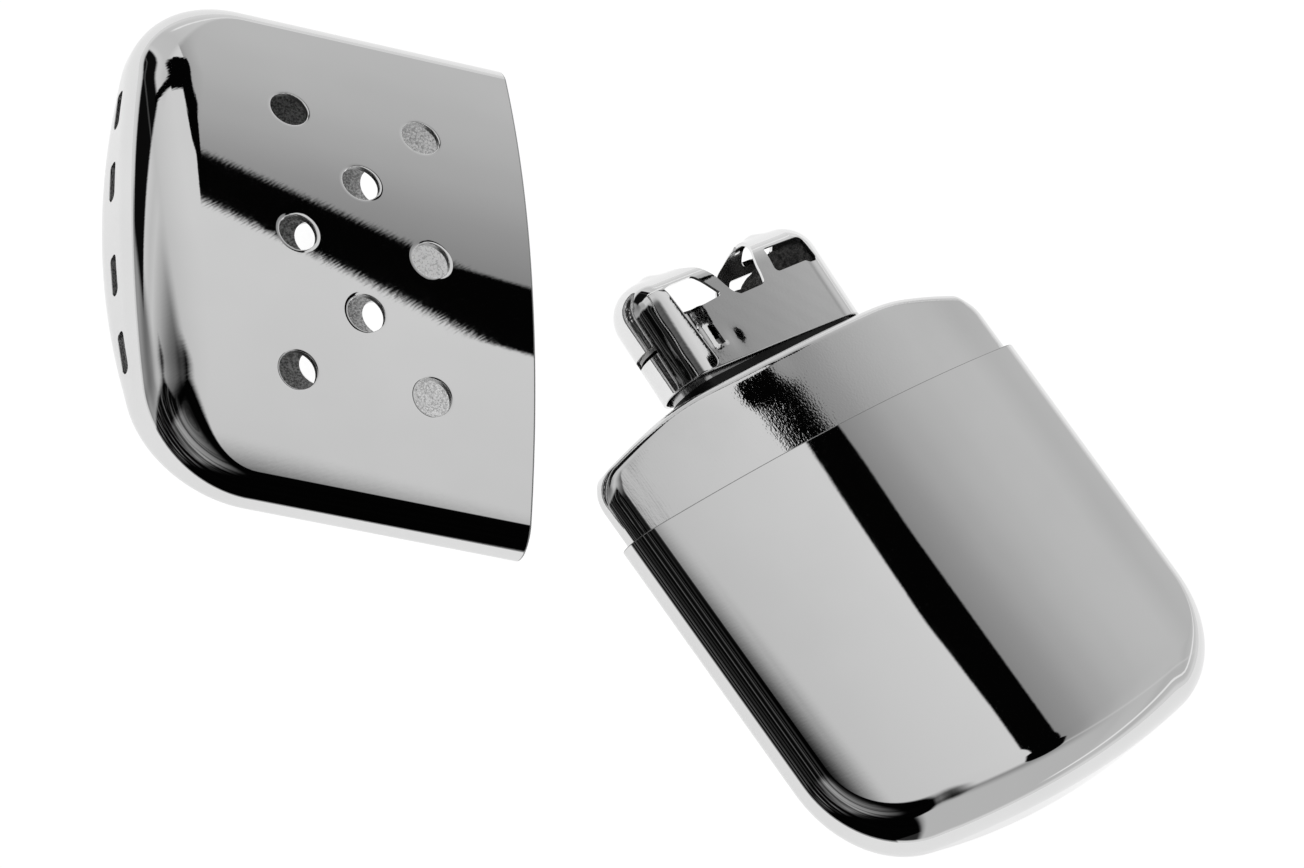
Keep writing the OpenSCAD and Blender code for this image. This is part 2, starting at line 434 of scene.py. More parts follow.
def drawn_shell(ln, form, lip=0.28):
    s = Skin()
    add_body(s, shell_grids(0.0, ln, lip, form))
    first = len(s.f)
    add_body(s, shell_grids(WALL, ln, lip, form), -1)
    s.inner = (first, len(s.f))
    loops = []
    for i in range(9):
        a = math.pi * i / 8
        d = WALL / 2 * (1 - math.cos(a))
        y = lip * (1 - math.sin(a))
        P, N = mouth_loop(shell_grids(d, ln, lip, form))
        P = P.copy(); P[:, 1] = y
        loops.append((P, N * math.cos(a) + np.array((0, -math.sin(a), 0))))
    add_rim(s, loops)
    return s


def crown_z(x, back=False):
    z = HALF_T - x * x / (2 * FACE_R)
    return -smin(z, LAND, 0.2)[0] if back else z


def end_y(x, z, ln):
    """Outside of the closed end at x, z"""
    py = ln - END_R + np.sqrt(END_R ** 2 - x * x)
    c = HALF_T - x * x / (2 * FACE_R)
    r = np.minimum(END_F, c - 0.2)
    s = np.clip((np.abs(z) - c + r) / r, 0, 1)
    k = 2.0 + SHELL["ease"][1]
    return py - (r + SHELL["reach"][1]) * (1 - (1 - s ** k) ** (1 / k))


def vent_cutter(cx, cy, rad, seg=72):
    """Punch for one vent, through both faces, with a rolled edge on the outside."""
    prof = [(0.0, 3.0), (rad + 0.62, 3.0), (rad + 0.61, 0.1), (rad + 0.60, 0.0006), (rad + 0.50, -0.0006),
            (rad + 0.41, -0.0018), (rad + 0.33, -0.0034), (rad + 0.26, -0.0056), (rad + 0.20, -0.0088),
            (rad + 0.14, -0.0145), (rad + 0.085, -0.0245), (rad + 0.04, -0.041), (rad + 0.012, -0.068),
            (rad, -0.12), (rad, -1.1)]
    rings = []
    for back in (False, True):
        ring = []
        for rr, dz in prof:
            ph = np.linspace(0, 2 * math.pi, seg, endpoint=False)
            # the back's vents lie a little off the front's
            x = cx + rr * np.cos(ph) - (0.36 if back else 0.0)
            y = cy + rr * np.sin(ph) + (0.66 if back else 0.0)
            z = crown_z(x, back) + (-dz if back else dz)
            if rr == 0.0 or dz in (3.0,):
                z = np.full_like(x, 10.0 if not back else -10.0)
            ring.append(np.stack([x, y, z], -1))
        rings.append(ring)
    P = rings[0] + rings[1][::-1]
    verts, faces = [], []
    n = seg
    for r in P[1:-1]:
        verts += [tuple(v) for v in r]
    top = len(verts); verts.append((cx, cy, 10.0))
    bot = len(verts); verts.append((cx, cy, -10.0))
    m = len(P) - 2
    for i in range(m - 1):
        for j in range(n):
            k = (j + 1) % n
            faces.append((i * n + j, (i + 1) * n + j, (i + 1) * n + k, i * n + k))
    for j in range(n):
        k = (j + 1) % n
        faces.append((top, j, k))
        faces.append((bot, (m - 1) * n + k, (m - 1) * n + j))
    return new_object("punch", verts, faces)


def end_cutter(cx, length, height, ln, seg=24):
    """Punch for one slot through the closed end, with a rolled edge."""
    r0 = height / 2
    prof = [(0.16, 3.0), (0.14, 0.2), (0.085, 0.002), (0.04, -0.014), (0.012, -0.042), (0.0, -0.09), (0.0, -6.0)]
    plan = []
    for side in (1, -1):
        for i in range(seg + 1):
            a = math.pi * (i / seg - 0.5) + (0 if side > 0 else math.pi)
            plan.append((side * (length / 2 - r0), math.cos(a), math.sin(a)))
    n = len(plan)
    verts, faces = [], []
    for dr, dy in prof:
        for c, ux, uz in plan:
            x, z = cx + c + (r0 + dr) * ux, (r0 + dr) * uz
            y = float(end_y(np.float64(x), np.float64(z), ln)) + dy
            y = ln + 3 if dy == 3.0 else (ln - 7.5 if dy == -6.0 else y)
            verts.append((x, y, z))
    m = len(prof)
    for i in range(m - 1):
        for j in range(n):
            k = (j + 1) % n
            faces.append((i * n + j, i * n + k, (i + 1) * n + k, (i + 1) * n + j))
    faces.append(tuple(range(n - 1, -1, -1)))
    faces.append(tuple(range((m - 1) * n, m * n)))
    return fix_winding(new_object("punch", verts, faces))


# the cap
s = drawn_shell(CAP_LEN, SHELL)
cap = new_object("cap_shell_skin", s.v, s.f)
tools = []
for row in range(3):
    for k in ((-0.5, 0.5) if row == 1 else (-1, 0, 1)):
        tools.append(vent_cutter(k * 17.5, 12.8 + row * 8.2, 2.3))
for x in (-16.2, -6.25, 6.25, 16.2):
    tools.append(end_cutter(x, 5.2, 1.5, CAP_LEN))
cut(cap, tools)
smooth_with(cap, s.v, s.n, s.f, inner=s.inner)
normals_to(cap, CAP)

def flatter(skin, tank_v, more=1.0, at=-8.2, width=2.6):
    """The tank's front is drawn a little flatter left of its middle. tank_v gives the
    distance from the seam towards the closed end for a vertex."""
    us = np.linspace(-34, 34, 1361)
    g1 = -0.0117 * more * np.exp(-((us - at) / width) ** 2)
    g2 = 0.0044 * np.exp(-((us + 1.6) / 1.6) ** 2)
    du = us[1] - us[0]
    out = []
    for g in (g1, g2):
        h = np.cumsum(g) * du
        h -= h[-1]
        # back to nothing at the left side
        fall = np.clip((us + 28) / 18, 0, 1)
        out.append(h * fall)
    for i, (pt, n) in enumerate(zip(skin.v, skin.n)):
        if pt[2] < 2.0:
            continue
        v = tank_v(pt)
        w1 = float(np.interp(v, [25, 28, 31, 34, 38, 42, 46], [1, 0.78, 0.56, 0.41, 0.15, 0.05, 0]))
        w2 = float(np.interp(v, [5, 15], [1, 0]))
        h = w1 * out[0] + w2 * out[1]
        z = float(np.interp(pt[0], us, h))
        sl = float(np.interp(pt[0], us[:-1] + du / 2, np.diff(h) / du))
        skin.v[i] = (pt[0], pt[1], pt[2] + z)
        m = Vector(n)
        m.x -= sl * m.z
        m.normalize()
        skin.n[i] = tuple(m)


# the case
s = drawn_shell(CASE_LEN, CASE_SHELL, 0.14)
flatter(s, lambda q: q[1])
case = new_object("case_shell_skin", s.v, s.f)
smooth_with(case, s.v, s.n, s.f, inner=s.inner)
normals_to(case, CASE)


def gauss(d, w):
    return math.exp(-0.5 * (d / w) ** 2)


def step(x, a, b):
    t = min(max((x - a) / (b - a), 0.0), 1.0)
    return t * t * (3 - 2 * t)


# the collar, with its skirt inside the case
def oval_prism(c, r, lo, hi, seg=48):
    pts = []
    for side in (1, -1):
        for i in range(seg + 1):
            a = math.pi * (i / seg - 0.5) + (0 if side > 0 else math.pi)
            pts.append((side * c / 2 + r * math.cos(a), r * math.sin(a)))
    n = len(pts)
    verts = [(x, lo, z) for x, z in pts] + [(x, hi, z) for x, z in pts]
    faces = [(i, i + n, (i + 1) % n + n, (i + 1) % n) for i in range(n)]
    faces += [tuple(range(n)), tuple(range(2 * n - 1, n - 1, -1))]
    ob = new_object("prism", verts, faces)
    return ob


def collar_skin():
    s = Skin()
    LEN = 12.7
    cw = 0.5
    kw = dict(p=COLLAR, cap_y=SEAT_Y, counts=(14, 16, 30, 10, 2))
    y_out = 0.05
    add_body(s, shell_grids(0.0, LEN, y_out, **kw))
    add_body(s, shell_grids(cw, LEN, y_out, **kw), -1)
    prof = []   # d, y, share outward, share along y
    for a in np.linspace(0, math.pi / 2, 5):
        # small inside corner where the wall meets the bead
        prof.append((-0.10 * (1 - math.cos(a)), 0.05 - 0.16 * math.sin(a), math.cos(a), math.sin(a)))
    for a in np.linspace(math.pi / 2, 0, 5):
        prof.append((-0.10 - 0.17 * math.cos(a), -0.11 - 0.16 * (1 - math.sin(a)), math.cos(a), math.sin(a)))
    prof += [(-0.27, -0.9, 1, 0), (-0.27, -7.7, 1, 0)]
    for a in np.linspace(0, math.pi, 6)[1:]:
        prof.append((-0.27 + 0.25 * (1 - math.cos(a)), -7.75 - 0.25 * math.sin(a), math.cos(a), -math.sin(a)))
    prof += [(0.23, -1.1, -1, 0), (cw, -0.5, -1, 0), (cw, y_out, -1, 0)]
    loops = []
    for d, y, cn, cy in prof:
        P, N = mouth_loop(shell_grids(d, LEN, y_out, **kw))
        P = P.copy(); P[:, 1] = y
        loops.append((P, N * cn + np.array((0, cy, 0))))
    add_rim(s, loops)
    return s


def shoulder_press(u, v):
    """Height of the collar's front over its plain crown: a long flat left of the middle,
    wider and further left near the shoulder."""
    at = float(np.interp(v, [-11, -9.5, -8, -6, -1], [-11.6, -11.0, -10.2, -9.4, -9.2]))
    k = float(np.interp(v, [-11, -9.5, -8, -6, -1], [0.052, 0.047, 0.038, 0.031, 0.0275]))
    w = float(np.interp(v, [-11, -8, -6], [4.4, 4.1, 3.7]))
    h = k * w * (1 - math.erf((u - at) / w))
    h += 0.034 * step(-v, 6.0, 10.0) * 1.9 * (1 - math.erf((u + 2.9) / 1.9))
    return h * 0.8862 * min(max((u + 28) / 18, 0.0), 1.0)


s = collar_skin()
for i, (pt, n) in enumerate(zip(s.v, s.n)):
    if pt[2] > 2.0:
        u, v = pt[0], -pt[1]
        z = shoulder_press(u, v)
        su = (shoulder_press(u + 0.05, v) - shoulder_press(u - 0.05, v)) / 0.1
        sv = (shoulder_press(u, v + 0.05) - shoulder_press(u, v - 0.05)) / 0.1
        m = Vector((n[0] - su * n[2], n[1] + sv * n[2], n[2])).normalized()
        s.v[i], s.n[i] = (pt[0], pt[1], pt[2] + z), tuple(m)
collar = new_object("tank_collar_skin", s.v, s.f)
cut(collar, [fix_winding(oval_prism(BURN_C - 1, 3.41, 5, 20))])
smooth_with(collar, s.v, s.n, s.f)
normals_to(collar, TANK)


# ------------------------------------------------------------------ burner cage
def cage_press(sd, ang, y, outside, lean=1):
    """How far the sheet stands proud at distance sd to the left of the middle of the
    front, and ang round the end (0 on the flats, pi/2 at the end), at height y."""
    flat = min(abs(sd), BURN_C / 2)
    f = -flat * flat / 760.0 * math.cos(ang) ** 2 - 0.0287 * BURN_R * 0.5 * math.sin(2 * abs(ang))
    f += 0.012 * lean * max(min(sd, BURN_C / 2), -BURN_C / 2) * math.cos(ang) ** 2
    if outside:
        # spot weld, and the leaning patch under the left window
        f -= 0.040 * gauss(sd - 5.2, 0.72) * gauss(y - 15.0, 0.95)
        f -= 0.026 * (sd - 6.8) * step(sd, 6.7, 7.2) * step(sd, 9.9, 9.5) * step(y, 17.5, 17.8) * step(y, 20.6, 20.0)
        # the strip beside the small pressed tab leans away
        f -= 0.075 * (sd - 8.0) * step(sd, 7.95, 8.15) * step(sd, 9.0, 8.8) * step(y, 14.8, 15.1) * step(y, 17.8, 17.5)
        # lip under the tab
        f += 0.09 * gauss(y - 14.82 + 0.03 * (sd - 7.4), 0.13) * step(sd, 6.6, 6.9) * step(sd, 8.3, 8.0)
        # slight waviness of the pressed sheet
        f += 0.0011 * math.sin(0.9 * sd + 1.1 * y) * math.cos(0.7 * y - 0.5 * sd + 1.0)
        f += 0.0007 * math.sin(2.3 * sd - 1.7 * y + 2.0)
    return f


def end_press(deg, y):
    """Drawing lines that run up the left end of the sheet."""
    f = 0.0
    fade = step(y, 12.5, 13.2) * step(y, 25.0, 23.2)
    for a0, w, h, k in ((33, 1.6, 0.030, 0.9), (39, 1.2, -0.022, 1.7), (44.5, 1.7, 0.034, 0.6), (50, 1.3, 0.026, 1.3),
                        (55.5, 1.2, -0.026, 0.5), (60.5, 1.5, 0.034, 1.1), (66, 1.2, -0.024, 0.8)):
        a1 = a0 + 1.1 * math.sin(k * y + a0)
        f += 0.55 * h * gauss(deg - a1, w) * (0.65 + 0.35 * math.sin(0.8 * y * k + 1.3 * a0))
    return f * fade


def cage_skin(r, foot, sign):
    """Oval wall with a domed top, as one half of the sheet (outside or inside)."""
    out = sign > 0
    nl, na, nh, nd = (100, 60, 46, 18) if out else (100, 60, 12, 10)
    plan = []
    for i in range(nl):
        x = BURN_C / 2 - BURN_C * i / nl
        plan.append((x, 0.0, 1.0, -x, 0.0, 1))
    for i in range(na):
        a = math.pi * i / na
        plan.append((-BURN_C / 2, -math.sin(a), math.cos(a), BURN_C / 2, a, 1))
    for i in range(nl):
        x = -BURN_C / 2 + BURN_C * i / nl
        plan.append((x, 0.0, -1.0, x, 0.0, 0))
    for i in range(na):
        a = math.pi * i / na
        plan.append((BURN_C / 2, math.sin(a), -math.cos(a), BURN_C / 2, a, 0))
    rows = [(foot + (SPRING - foot) * j / nh, None) for j in range(nh)]
    rows += [(SPRING, math.pi / 2 * j / nd) for j in range(nd + 1)]
    P = np.zeros((len(plan), len(rows), 3)); N = np.zeros_like(P)
    for i, (cx, nx, nz, sd, ang, front) in enumerate(plan):
        for j, (y, ps) in enumerate(rows):
            c, sn = (1.0, 0.0) if ps is None else (math.cos(ps), math.sin(ps))
            yy = y + r * sn
            lean = (ang < math.pi / 2) if front else (ang > math.pi / 2)
            f = cage_press(sd if front else -abs(sd), ang, yy, out and front and ang == 0.0, int(lean))
            if front and ang > 0 and out:
                f += end_press(math.degrees(ang), yy)
            f *= c * c
            P[i, j] = (cx + (r + f) * nx * c, yy + f * sn, (r + f) * nz * c)
            N[i, j] = (nx * c, sn, nz * c)
            if ps is not None and abs(ps - math.pi / 2) < 1e-9:
                P[i, j] = (cx, y + r, 0.0); N[i, j] = (0, 1, 0)
            if yy > 25.2:
                # raised lip in front of each gas outlet
                x, z = P[i, j, 0], P[i, j, 2]
                P[i, j, 1] += 0.50 * gauss(abs(x) - 8.5, 1.05) * gauss(z - 0.45, 0.75) * step(yy, 25.2, 26.0)
    # true normals of the pressed sheet, from its neighbours
    di = np.roll(P, -1, 0) - np.roll(P, 1, 0)
    dj = np.gradient(P, axis=1)
    n = np.cross(di, dj)
    L = np.linalg.norm(n, axis=-1)
    ok = L > 1e-7
    flip = np.sign((n * N).sum(-1))
    good = ok & (flip != 0)
    n[good] = n[good] / L[good][:, None] * flip[good][:, None]
    keep = np.ones(len(rows), bool); keep[-3:] = False
    for j in range(len(rows)):
        if keep[j]:
            N[:, j][good[:, j]] = n[:, j][good[:, j]]
    return P, N * sign


def rounded(points, radius, seg=6):
    """Polygon with its corners rounded; radius is one number or one for each corner."""
    n = len(points)
    out = []
    for i in range(n):
        p0, p1, p2 = (Vector(points[(i + k) % n]) for k in (-1, 0, 1))
        r = radius[i] if isinstance(radius, (list, tuple)) else radius
        a, b = (p0 - p1), (p2 - p1)
        la, lb = a.length, b.length
        a.normalize(); b.normalize()
        ang = math.acos(max(-1, min(1, a.dot(b))))
        if r <= 0 or ang > math.pi - 0.05:
            out.append(tuple(p1)); continue
        t = min(r / math.tan(ang / 2), la * 0.48, lb * 0.48)
        r2 = t * math.tan(ang / 2)
        c = p1 + (a + b).normalized() * (r2 / math.sin(ang / 2))
        s0, s1 = p1 + a * t - c, p1 + b * t - c
        a0, a1 = math.atan2(s0.y, s0.x), math.atan2(s1.y, s1.x)
        da = (a1 - a0 + math.pi) % (2 * math.pi) - math.pi
        for k in range(seg + 1):
            q = a0 + da * k / seg
            out.append((c.x + r2 * math.cos(q), c.y + r2 * math.sin(q)))
    return out


def prism_z(pts, z0, z1, turn=False):
    n = len(pts)
    verts = [(x, y, z0) for x, y in pts] + [(x, y, z1) for x, y in pts]
    if turn:
        verts = [(-x, y, -z) for x, y, z in verts]
    faces = [(i, (i + 1) % n, (i + 1) % n + n, i + n) for i in range(n)]
    faces += [tuple(range(n - 1, -1, -1)), tuple(range(n, 2 * n))]
    return fix_winding(new_object("punch", verts, faces))


s = Skin()
PO, NO = cage_skin(BURN_R, FOOT + 0.2, 1)
PI, NI = cage_skin(BURN_R - BURN_W, FOOT + 0.2, -1)
s.grid(PO, NO, closed=True)
first = len(s.f)
s.grid(PI, NI, closed=True)
s.inner = (first, len(s.f))
loops = []
for i in range(7):
    a = math.pi * i / 6
    f = 0.5 * (1 - math.cos(a))
    P = PO[:, 0] * (1 - f) + PI[:, 0] * f
    P = P.copy(); P[:, 1] = FOOT + 0.2 * (1 - math.sin(a))
    loops.append((P, NO[:, 0] * math.cos(a) + np.array((0, -math.sin(a), 0))))
add_rim(s, loops)
cage = new_object("burner_cage_skin", s.v, s.f)

WIN_L = rounded([(-11.05, 23.6), (-8.9, 24.05), (-5.4, 24.05), (-3.2, 20.5), (-6.4, 20.2), (-8.6, 20.15), (-9.0, 19.95),
                 (-10.5, 19.95), (-10.75, 21.3)], [0.7, 2.0, 0.6, 0.35, 0.8, 0.3, 0.3, 0.4, 2.0])
WIN_R = rounded([(6.1, 23.95), (12.0, 23.85), (12.5, 20.8), (12.1, 20.2), (11.2, 20.2), (10.6, 20.62), (5.7, 20.55)],
                [0.5, 0.8, 0.4, 0.3, 0.3, 0.4, 0.6])
NOTCH = rounded([(-0.8, 19.7), (-1.7, 20.4), (-2.25, 21.7), (-2.75, 23.05), (-3.4, 24.5), (-3.75, 25.1), (-4.8, 25.8),
                 (-6.3, 27.0), (-6.3, 29.0), (6.3, 29.0), (6.3, 27.0), (4.75, 24.4), (4.1, 23.35), (3.75, 22.3),
                 (3.6, 21.2), (3.3, 20.05), (2.7, 19.8)], [0.3, 1.5, 3, 3, 2, 1, 2, 0.5, 0, 0, 0.5, 2, 3, 3, 3, 0.5, 0.5])
# narrow open slit along the lapped edge
SLIT = [(-9.34 + 0.32, 12.0), (-9.34 + 0.32, 13.4), (-9.56 + 0.30, 15.5), (-9.72 + 0.28, 17.8), (-9.92 + 0.26, 19.3),
        (-9.92 - 0.05, 19.3), (-9.72 - 0.05, 17.8), (-9.56 - 0.05, 15.5), (-9.34 - 0.05, 13.4), (-9.34 - 0.05, 12.0)]
TAB = rounded([(-7.95, 15.0), (-6.85, 14.92), (-6.95, 17.55), (-7.9, 17.6)], [0.1, 0.1, 0.15, 0.15])
tools = []
for turn in (False, True):
    for shape in (WIN_L, WIN_R, NOTCH):
        tools.append(prism_z(shape, -0.1, 8.0, turn))
tools.append(prism_z(TAB, 3.0, 8.0))
tools.append(prism_z([(x, max(y, 13.2)) for x, y in SLIT[1:-1]], 3.0, 8.0))
# gas outlets behind the ridge, and the slot round the left end
for sg in (-1, 1):
    cx = sg * 10.05
    pts = rounded([(cx - 2.35, 0.6), (cx + 2.35, 0.6), (cx + 2.35, 2.9), (cx - 2.35, 2.9)], 0.5)
    ob = prism_z(pts, 24.0, 29.0)
    for v in ob.data.vertices:
        v.co = (v.co.x, v.co.z, -v.co.y)
    tools.append(fix_winding(ob))
pts = rounded([(-16.5, 17.5), (-11.9, 17.5), (-11.9, 18.5), (-16.5, 18.5)], 0)
slot = prism_z(pts, -3.2, 2.2)
tools.append(slot)
cut(cage, tools)
smooth_with(cage, s.v, s.n, s.f, inner=s.inner)
normals_to(cage, BURNER)

# ------------------------------------------------------------------ lapped seam on the cage
def wrap(sd, y, off):
    """A place on the cage's outside at distance sd to the left of the middle, off proud of it."""
    if sd <= BURN_C / 2:
        cx, a = -sd, 0.0
    else:
        cx, a = -BURN_C / 2, (sd - BURN_C / 2) / BURN_R
    r, c, up = BURN_R, 1.0, 0.0
    if y > SPRING:
        ps = min((y - SPRING) / BURN_R, 1.0)
        ps = math.asin(ps)
        c, up = math.cos(ps), math.sin(ps)
        y = SPRING
    f = cage_press(min(sd, BURN_C / 2), a, y, False) * c * c
    q = r + f + off
    n = (-math.sin(a) * c, up, math.cos(a) * c)
    return (cx + q * n[0], y + q * up, q * n[2]), n


def seam_flap():
    """The end of the sheet, lapped over the front: a thin panel with rolled edges."""
    ns, ny = 26, 60
    lo_y, hi_y = 12.45, 23.9
    pts, nrm = {}, {}
    s = Skin()

    def edge(y):
        # free edge on the front, with a rounded lower corner and a swept top
        e = float(np.interp(y, [12.4, 13.4, 15.5, 17.8, 19.7, 24.0], [9.25, 9.32, 9.54, 9.71, 9.92, 10.30]))
        if y < 13.7:
            t = (13.7 - y) / 1.25
            e += 1.35 * (1 - math.sqrt(max(1 - t * t, 0.0)))
        return e

    def back_edge(y):
        return 12.95 + 0.06 * math.sin(1.3 * y) - 0.25 * step(y, 21.5, 23.9)
    T = 0.26
    prof = []       # share across, proudness
    for i in range(7):
        a = math.pi / 2 * i / 6
        prof.append((0.0, 0.12 * (1 - math.cos(a)), T * 0.5 + T * 0.5 * math.sin(a)))
    grid_top = []
    P, N = [], []
    for j in range(ny + 1):
        y = lo_y + (hi_y - lo_y) * j / ny
        e0, e1 = edge(y), back_edge(y)
        row, rn = [], []
        seq = []
        seq.append((e0, 0.012, -90))
        for i in range(6):
            a = math.radians(-90 + 180 * (i + 1) / 12 * 1.0)
            seq.append((e0 + 0.10 * (1 - math.cos(a)), T * 0.5 + T * 0.5 * math.sin(a), math.degrees(a)))
        for i in range(7):
            a = math.radians(90 * i / 6)
            seq.append((e0 + 0.14 * (1 - math.cos(a)) * 1.0, T * 0.5 + T * 0.5 * math.sin(a), 90 * i / 6))
        for i in range(1, ns):
            seq.append((e0 + 0.14 + (e1 - e0 - 0.28) * i / ns, T, 90))
        for i in range(7):
            a = math.radians(90 - 90 * i / 6)
            seq.append((e1 - 0.14 * (1 - math.cos(a)), T * 0.5 + T * 0.5 * math.sin(a), 180 - math.degrees(a)))
        for i in range(1, 7):
            a = math.radians(90 * i / 6)
            seq.append((e1 - 0.14 * (1 - math.cos(a)), T * 0.5 - T * 0.5 * math.sin(a), 180 + 90 * i / 6))
        lift = 0.05 * step(y, 12.5, 14.5)
        for sd, h, deg in seq:
            # the free edge stands a little off the sheet under it
            off = h + lift * step(sd, e0 + 2.2, e0)
            p, n = wrap(sd, y, off)
            d = math.radians(deg)
            tang = np.array((1.0, 0, 0)) if sd <= BURN_C / 2 else np.array((n[2], 0, -n[0]))
            side = math.cos(d)      # towards the middle
            row.append(p)
            rn.append(np.array(n) * math.sin(d) + tang * side)
        P.append(row); N.append(rn)
    P, N = np.array(P), np.array(N)
    s.grid(P, N)
    # close the under side and both ends
    under = P[:, [-1, 0]]
    un = -N[:, [ns, ns]]
    idx = [[s.vert(under[j, k], un[j, k]) for k in (0, 1)] for j in range(len(under))]
    for j in range(len(under) - 1):
        s.f.append([idx[j][0], idx[j + 1][0], idx[j + 1][1], idx[j][1]])
    for j in (0, len(P) - 1):
        ring = [s.vert(P[j, k], N[j, k]) for k in range(P.shape[1])]
        out = []
        for i in ring:
            if i not in out:
                out.append(i)
        s.f.append(out)
    return s


s = seam_flap()
flap = new_object("burner_seam_flap", s.v, s.f)
fix_winding(flap)
place(flap, BURNER)
flap.data.polygons.foreach_set("use_smooth", [True] * len(flap.data.polygons))

# ------------------------------------------------------------------ catalyst mat
def mat_mesh():
    """Loose fibrous mat: an oval block with a hollow top, its surface teased up."""
    rng = np.random.default_rng(7)
    r = 3.62
    s = Skin()
    nl, na = 60, 22
    plan = []
    for i in range(nl):
        plan.append((BURN_C / 2 - BURN_C * i / nl, 0.0, 1.0))
    for i in range(na):
        a = math.pi / 2 + math.pi * i / na
        plan.append((-BURN_C / 2, math.cos(a), math.sin(a)))
    for i in range(nl):
        plan.append((-BURN_C / 2 + BURN_C * i / nl, 0.0, -1.0))
    for i in range(na):
        a = -math.pi / 2 + math.pi * i / na
        plan.append((BURN_C / 2, math.cos(a), math.sin(a)))
    def top(x):
        y = 20.3 + 0.15 * math.cos(0.8 * x)
        y += 3.0 * step(x, 3.2, 7.6)
        return y
    rows = [(0.0, 0.0)] + [(1.0, h) for h in np.linspace(0, 1, 9)] + [(q, 1.0) for q in np.linspace(0.9, 0.0, 9)]
    ph = rng.uniform(0, 6.28, 24)
    fr = rng.uniform(0.8, 3.2, (24, 3)) * rng.choice([-1, 1], (24, 3))

    def lump(x, y, z):
        v = 0.0
        for k in range(24):
            v += math.sin(fr[k, 0] * x + fr[k, 1] * y + fr[k, 2] * z + ph[k])
        return v / 24 * 2.0
    P = np.zeros((len(plan), len(rows), 3)); N = np.zeros_like(P)
    for i, (cx, nx, nz) in enumerate(plan):
        for j, (q, h) in enumerate(rows):
            x, z = cx + r * nx * q, r * nz * q
            if q == 0.0:
                x, z = cx, 0.0
            t = min(top(x), 23.35)
            y = 18.74 + (t - 18.74) * h
            b = lump(x, y, z)
            if h > 0 and not (q == 0.0 and h == 0.0):
                y += 0.22 * b * h
            if q == 1.0:
                x -= 0.12 * abs(b) * nx; z -= 0.12 * abs(b) * nz
            P[i, j] = (x, min(y, 23.45), z)
            N[i, j] = (nx, 0, nz) if 0 < j < 10 else ((0, -1, 0) if j == 0 else (0, 1, 0))
    s.grid(P, N, closed=True)
    return s


s = mat_mesh()
mat_ob = new_object("catalyst_fibre_mat", s.v, s.f)
fix_winding(mat_ob)
place(mat_ob, BURNER)
mat_ob.data.polygons.foreach_set("use_smooth", [True] * len(mat_ob.data.polygons))


# ------------------------------------------------------------------ materials
def material(name):
    m = bpy.data.materials.new(name)
    m.use_nodes = True
    t = m.node_tree
    t.nodes.clear()
    out = t.nodes.new("ShaderNodeOutputMaterial")
    b = t.nodes.new("ShaderNodeBsdfPrincipled")
    t.links.new(b.outputs[0], out.inputs[0])
    return m, t, b


def coords(t, scale=(1, 1, 1), rot=(0, 0, 0), kind="Object"):
    tc = t.nodes.new("ShaderNodeTexCoord")
    mp = t.nodes.new("ShaderNodeMapping")
    mp.inputs["Scale"].default_value = scale
    mp.inputs["Rotation"].default_value = rot
    t.links.new(tc.outputs[kind], mp.inputs["Vector"])
    return mp.outputs[0]


def noise(t, vec, scale, detail=3.0, rough=0.5):
    n = t.nodes.new("ShaderNodeTexNoise")
    n.inputs["Scale"].default_value = scale
    n.inputs["Detail"].default_value = detail
    n.inputs["Roughness"].default_value = rough
    t.links.new(vec, n.inputs["Vector"])
    return Ex(t, n.outputs["Fac"])


def bump(t, b, height, strength, distance):
    n = t.nodes.new("ShaderNodeBump")
    n.inputs["Strength"].default_value = strength
    n.inputs["Distance"].default_value = distance
    t.links.new(height.s, n.inputs["Height"])
    t.links.new(n.outputs[0], b.inputs["Normal"])


def grey(t, b, value, tint=(1.0, 1.0, 1.0)):
    """Links a grey level to the base colour, with a slight tint."""
    c = t.nodes.new("ShaderNodeCombineColor")
    for k, ti in zip(("Red", "Green", "Blue"), tint):
        t.links.new((value * ti).s, c.inputs[k])
    t.links.new(c.outputs[0], b.inputs["Base Color"])


def chrome(name, level=0.69, rough=0.012, haze=0.012, turn=0.0, hairs=0.0, dents=0.25, dent_depth=1.2e-6):
    """Plated metal: slight variation in reflectance and haze, fine polishing hairs
    across the piece (turn is the piece's own turn about Z) and faint orange peel."""
    m, t, b = material(name)
    b.inputs["Metallic"].default_value = 1.0
    v = coords(t)
    big = noise(t, v, 60.0, 3.0)
    fine = noise(t, v, 900.0, 4.0, 0.6)
    grey(t, b, big.ramp(0.3, 0.7, level - 0.012, level + 0.012))
    r = (big.ramp(0.35, 0.75) * haze * 0.5) + (fine.ramp(0.5, 0.8) * haze) + rough
    t.links.new(r.s, b.inputs["Roughness"])
    h = noise(t, v, 2600.0, 1.0)
    if hairs:
        g = noise(t, coords(t, (0.22, 1, 1), (0, 0, -turn)), 4300.0, 0.0)
        h = h * (dents * 0.5) + g * hairs
        bump(t, b, h, 1.0, dent_depth)
    else:
        bump(t, b, h, dents, dent_depth)
    return m


